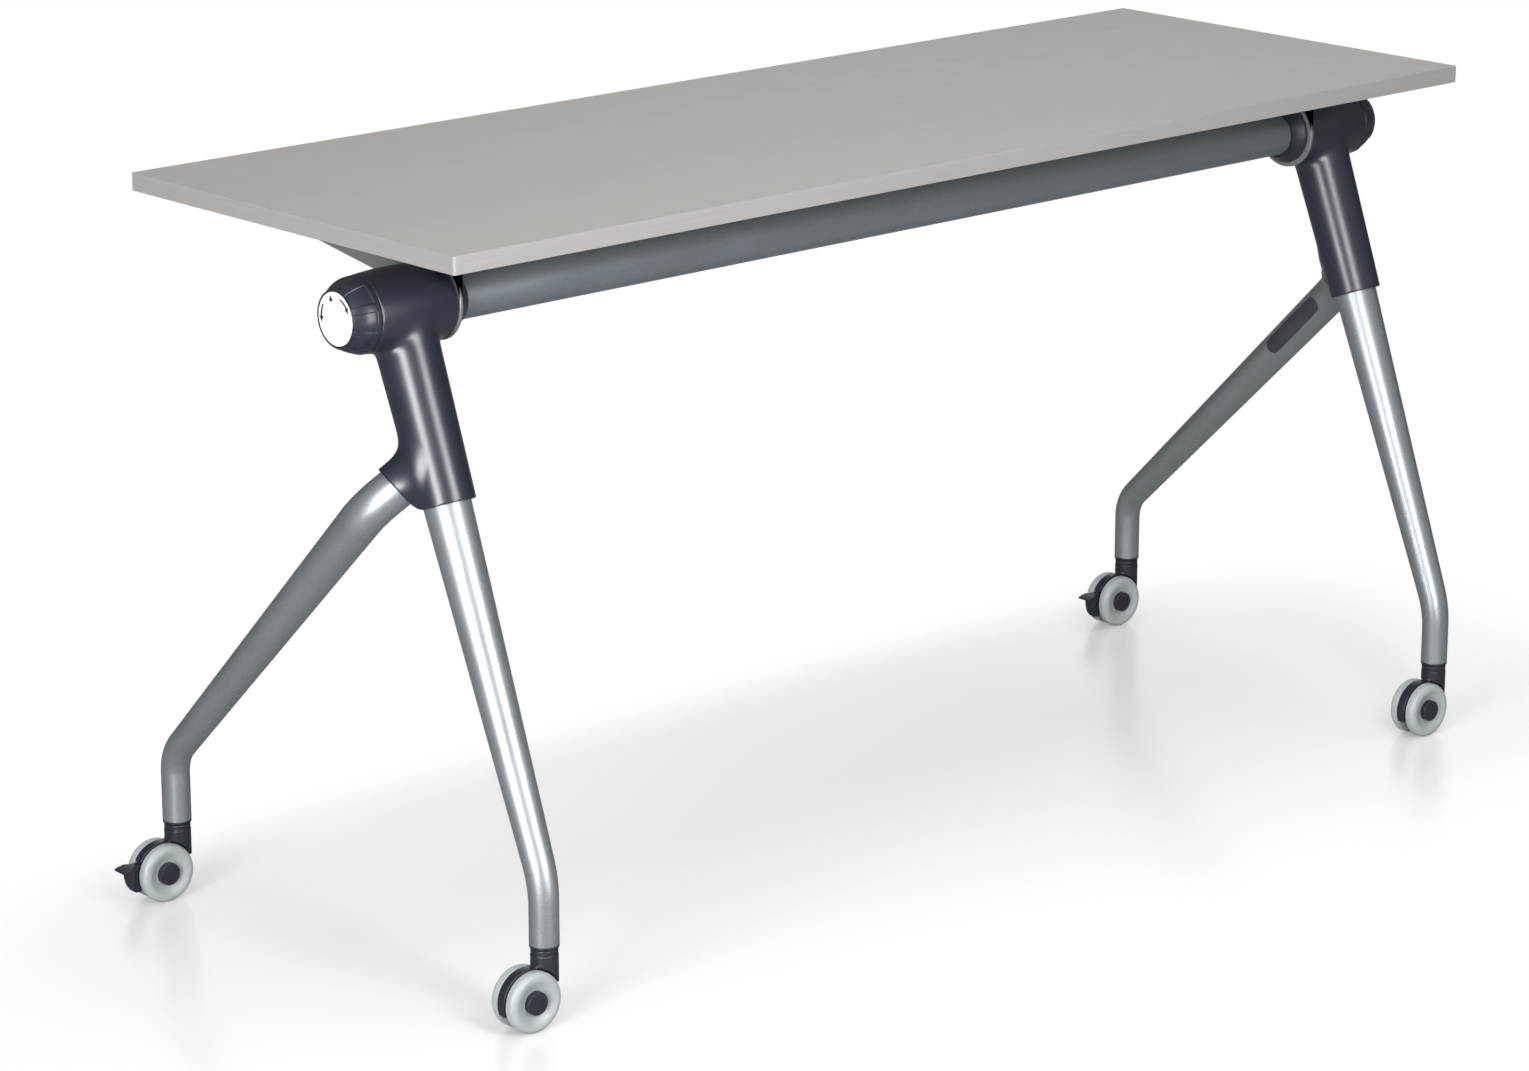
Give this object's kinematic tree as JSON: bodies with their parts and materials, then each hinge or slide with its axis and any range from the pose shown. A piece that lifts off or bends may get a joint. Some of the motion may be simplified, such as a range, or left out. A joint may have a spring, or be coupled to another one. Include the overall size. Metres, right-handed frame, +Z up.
{
  "type": "flip top training table",
  "caption": "Flip top training table: a grey laminate panel on a cross beam between two angled leg frames with twist-lock knobs and twin-wheel casters.",
  "frame": {"origin": "On the floor, in the middle of the box that the whole table fills.", "axes": "+Z up, +X along the table towards its right end, +Y towards the rear casters, where the sitter is."},
  "size_m": [1.4832, 0.5658, 0.738],
  "materials": {
    "laminate": "fine-grained matt laminate",
    "edge_band": "satin",
    "grey_paint": "satin powder coat",
    "silver_paint": "silver metallic powder coat",
    "anthracite_casting": "semi-gloss",
    "knob_plastic": "semi-gloss",
    "white_plastic": "satin",
    "dark_plastic": "fine texture",
    "bearing_plastic": "plain",
    "pad_rubber": "matt",
    "pale_tread": "satin",
    "bright_steel": "zinc plated"
  },
  "bodies": {
    "leg_frame": {"head_left": "anthracite_casting", "head_bush_left": "bearing_plastic", "lock_spring_left": "bright_steel", "front_leg_left": "silver_paint", "rear_leg_left": "silver_paint", "leg_pad_left": "pad_rubber", "head_right": "anthracite_casting", "head_bush_right": "bearing_plastic", "lock_spring_right": "bright_steel", "front_leg_right": "silver_paint", "rear_leg_right": "silver_paint", "leg_pad_right": "pad_rubber", "caster_insert_front_left": "dark_plastic", "caster_insert_front_right": "dark_plastic", "caster_insert_rear_left": "dark_plastic", "caster_insert_rear_right": "dark_plastic"},
    "top": {"table_top": "laminate", "edge_band_rear": "edge_band", "edge_band_front": "edge_band", "edge_band_right": "edge_band", "edge_band_left": "edge_band", "beam_tube": "grey_paint", "beam_plug_left": "bright_steel", "beam_collar_left": "dark_plastic", "support_arm_left": "grey_paint", "beam_plug_right": "bright_steel", "beam_collar_right": "dark_plastic", "support_arm_right": "grey_paint"},
    "knob_left": {"lock_knob_left": "knob_plastic", "knob_disc_left": "white_plastic"},
    "plunger_left": {"lock_plunger_left": "bright_steel"},
    "knob_right": {"lock_knob_right": "knob_plastic", "knob_disc_right": "white_plastic"},
    "plunger_right": {"lock_plunger_right": "bright_steel"},
    "caster_front_left": {"caster_housing_front_left": "dark_plastic", "caster_axle_front_left": "bright_steel"},
    "body_wheel_aft_front_left": {"wheel_aft_front_left": "pale_tread", "hub_cap_aft_front_left": "dark_plastic"},
    "body_wheel_fore_front_left": {"wheel_fore_front_left": "pale_tread", "hub_cap_fore_front_left": "dark_plastic"},
    "caster_front_right": {"caster_housing_front_right": "dark_plastic", "caster_axle_front_right": "bright_steel"},
    "body_wheel_aft_front_right": {"wheel_aft_front_right": "pale_tread", "hub_cap_aft_front_right": "dark_plastic"},
    "body_wheel_fore_front_right": {"wheel_fore_front_right": "pale_tread", "hub_cap_fore_front_right": "dark_plastic"},
    "caster_rear_left": {"caster_housing_rear_left": "dark_plastic", "caster_axle_rear_left": "bright_steel"},
    "body_wheel_aft_rear_left": {"wheel_aft_rear_left": "pale_tread", "hub_cap_aft_rear_left": "dark_plastic"},
    "body_wheel_fore_rear_left": {"wheel_fore_rear_left": "pale_tread", "hub_cap_fore_rear_left": "dark_plastic"},
    "pedal_rear_left": {"brake_pedal_rear_left": "dark_plastic"},
    "caster_rear_right": {"caster_housing_rear_right": "dark_plastic", "caster_axle_rear_right": "bright_steel"},
    "body_wheel_aft_rear_right": {"wheel_aft_rear_right": "pale_tread", "hub_cap_aft_rear_right": "dark_plastic"},
    "body_wheel_fore_rear_right": {"wheel_fore_rear_right": "pale_tread", "hub_cap_fore_rear_right": "dark_plastic"},
    "pedal_rear_right": {"brake_pedal_rear_right": "dark_plastic"}
  },
  "joints": [
    {"name": "top_flip", "type": "hinge", "parent": "leg_frame", "child": "top", "pos_m": [0.02412, -0.06206, 0.6555], "axis": [1, 0, 0], "range_deg": [0, 78]},
    {"name": "knob_turn_left", "type": "hinge", "parent": "leg_frame", "child": "knob_left", "pos_m": [-0.67988, -0.06206, 0.6555], "axis": [-1, 0, 0], "range_deg": [0, 60]},
    {"name": "lock_slide_left", "type": "slide", "parent": "leg_frame", "child": "plunger_left", "axis": [-1, 0, 0], "range_m": [0, 0.005], "deforming": ["lock_spring_left"]},
    {"name": "knob_turn_right", "type": "hinge", "parent": "leg_frame", "child": "knob_right", "pos_m": [0.72812, -0.06206, 0.6555], "axis": [1, 0, 0], "range_deg": [0, 60]},
    {"name": "lock_slide_right", "type": "slide", "parent": "leg_frame", "child": "plunger_right", "axis": [1, 0, 0], "range_m": [0, 0.005], "deforming": ["lock_spring_right"]},
    {"name": "swivel_front_left", "type": "hinge", "parent": "leg_frame", "child": "caster_front_left", "pos_m": [-0.62088, -0.26406, 0.065], "axis": [0, 0, 1], "continuous": true},
    {"name": "roll_aft_front_left", "type": "hinge", "parent": "caster_front_left", "child": "body_wheel_aft_front_left", "pos_m": [-0.64245, -0.2513, 0.03], "axis": [0.0349, 0.9994, 0], "continuous": true},
    {"name": "roll_fore_front_left", "type": "hinge", "parent": "caster_front_left", "child": "body_wheel_fore_front_left", "pos_m": [-0.64329, -0.27528, 0.03], "axis": [0.0349, 0.9994, 0], "continuous": true},
    {"name": "swivel_front_right", "type": "hinge", "parent": "leg_frame", "child": "caster_front_right", "pos_m": [0.66912, -0.26406, 0.065], "axis": [0, 0, 1], "continuous": true},
    {"name": "roll_aft_front_right", "type": "hinge", "parent": "caster_front_right", "child": "body_wheel_aft_front_right", "pos_m": [0.64755, -0.2513, 0.03], "axis": [0.0349, 0.9994, 0], "continuous": true},
    {"name": "roll_fore_front_right", "type": "hinge", "parent": "caster_front_right", "child": "body_wheel_fore_front_right", "pos_m": [0.64671, -0.27528, 0.03], "axis": [0.0349, 0.9994, 0], "continuous": true},
    {"name": "swivel_rear_left", "type": "hinge", "parent": "leg_frame", "child": "caster_rear_left", "pos_m": [-0.67038, 0.25294, 0.065], "axis": [0, 0, 1], "continuous": true},
    {"name": "roll_aft_rear_left", "type": "hinge", "parent": "caster_rear_left", "child": "body_wheel_aft_rear_left", "pos_m": [-0.69195, 0.2657, 0.03], "axis": [0.0349, 0.9994, 0], "continuous": true},
    {"name": "roll_fore_rear_left", "type": "hinge", "parent": "caster_rear_left", "child": "body_wheel_fore_rear_left", "pos_m": [-0.69279, 0.24172, 0.03], "axis": [0.0349, 0.9994, 0], "continuous": true},
    {"name": "brake_rear_left", "type": "hinge", "parent": "caster_rear_left", "child": "pedal_rear_left", "pos_m": [-0.71236, 0.25441, 0.036], "axis": [-0.0349, -0.9994, 0], "range_deg": [0, 12]},
    {"name": "swivel_rear_right", "type": "hinge", "parent": "leg_frame", "child": "caster_rear_right", "pos_m": [0.71862, 0.25294, 0.065], "axis": [0, 0, 1], "continuous": true},
    {"name": "roll_aft_rear_right", "type": "hinge", "parent": "caster_rear_right", "child": "body_wheel_aft_rear_right", "pos_m": [0.69705, 0.2657, 0.03], "axis": [0.0349, 0.9994, 0], "continuous": true},
    {"name": "roll_fore_rear_right", "type": "hinge", "parent": "caster_rear_right", "child": "body_wheel_fore_rear_right", "pos_m": [0.69621, 0.24172, 0.03], "axis": [0.0349, 0.9994, 0], "continuous": true},
    {"name": "brake_rear_right", "type": "hinge", "parent": "caster_rear_right", "child": "pedal_rear_right", "pos_m": [0.67664, 0.25441, 0.036], "axis": [-0.0349, -0.9994, 0], "range_deg": [0, 12]}
  ],
  "couplings": [
    {"joint": "knob_turn_left", "follows": "lock_slide_left", "rad_per_m": 209.44},
    {"joint": "knob_turn_right", "follows": "lock_slide_right", "rad_per_m": 209.44}
  ]
}
